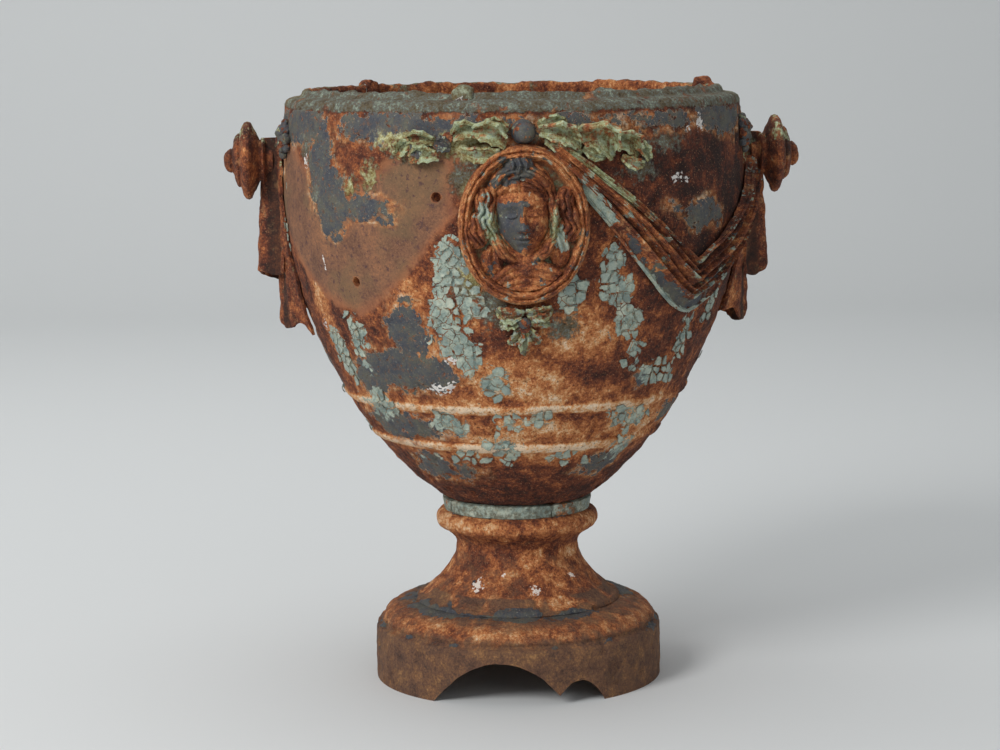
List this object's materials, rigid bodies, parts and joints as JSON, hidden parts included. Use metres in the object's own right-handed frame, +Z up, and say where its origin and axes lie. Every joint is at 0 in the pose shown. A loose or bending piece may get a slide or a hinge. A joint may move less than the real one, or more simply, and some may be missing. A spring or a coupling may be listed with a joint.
{
  "type": "garden urn",
  "caption": "Weathered cast-iron garden urn: open bowl on a turned hollow foot, with bolted medallions, drapery swags, leaf sprays and side knobs.",
  "frame": {"origin": "centre of the foot's ring of contact with the floor", "axes": "+Z up along the urn's axis, -Y out of the front medallion, +X out of the right-hand knob seen from the front"},
  "size_m": [0.6184, 0.5748, 0.649],
  "materials": {
    "bowl_iron": "rust under flaking slate-blue and pale green paint, matt and crusty",
    "foot_iron": "dull brown rust with ochre bloom and remnants of slate paint, matt",
    "ornament_iron": "dark red-brown rust with remnants of paint, matt",
    "leaf_iron": "yellow-green lichen and cracked pale paint over rust, matt",
    "berry_iron": "slate-blue paint, worn, satin in places",
    "collar_packing": "pale green weathered paint, matt, with split edges",
    "fixing_iron": "brown rust, matt"
  },
  "bodies": {
    "root": {"foot": "foot_iron", "collar_ring": "collar_packing", "bowl": "bowl_iron", "tie_bolt": "fixing_iron", "tie_washer_top": "fixing_iron", "tie_washer_bottom": "fixing_iron", "tie_nut": "fixing_iron", "medallion_front": "ornament_iron", "medallion_back": "ornament_iron", "medallion_screws": "fixing_iron", "medallion_nuts": "fixing_iron", "crown_bolt_front": "berry_iron", "crown_bolt_back": "berry_iron", "crown_nuts": "fixing_iron", "leaf_spray_front_right": "leaf_iron", "leaf_spray_front_left": "leaf_iron", "leaf_spray_back_right": "leaf_iron", "leaf_spray_back_left": "leaf_iron", "leaf_screws": "fixing_iron", "leaf_nuts": "fixing_iron", "pendant_front": "leaf_iron", "pendant_back": "leaf_iron", "pendant_screws": "fixing_iron", "pendant_nuts": "fixing_iron", "swag_front_right": "ornament_iron", "swag_back_right": "ornament_iron", "swag_back_left": "ornament_iron", "swag_screws": "fixing_iron", "swag_nuts": "fixing_iron", "tail_right": "ornament_iron", "tail_left": "ornament_iron", "knob_right": "ornament_iron", "knob_left": "ornament_iron", "knob_stud_right": "fixing_iron", "knob_stud_left": "fixing_iron", "knob_washer_right": "fixing_iron", "knob_washer_left": "fixing_iron", "knob_nut_right": "fixing_iron", "knob_nut_left": "fixing_iron", "berries_front_right": "berry_iron", "berries_front_left": "berry_iron", "berries_back_right": "berry_iron", "berries_back_left": "berry_iron", "berry_screws": "fixing_iron", "berry_nuts": "fixing_iron"}
  },
  "joints": []
}
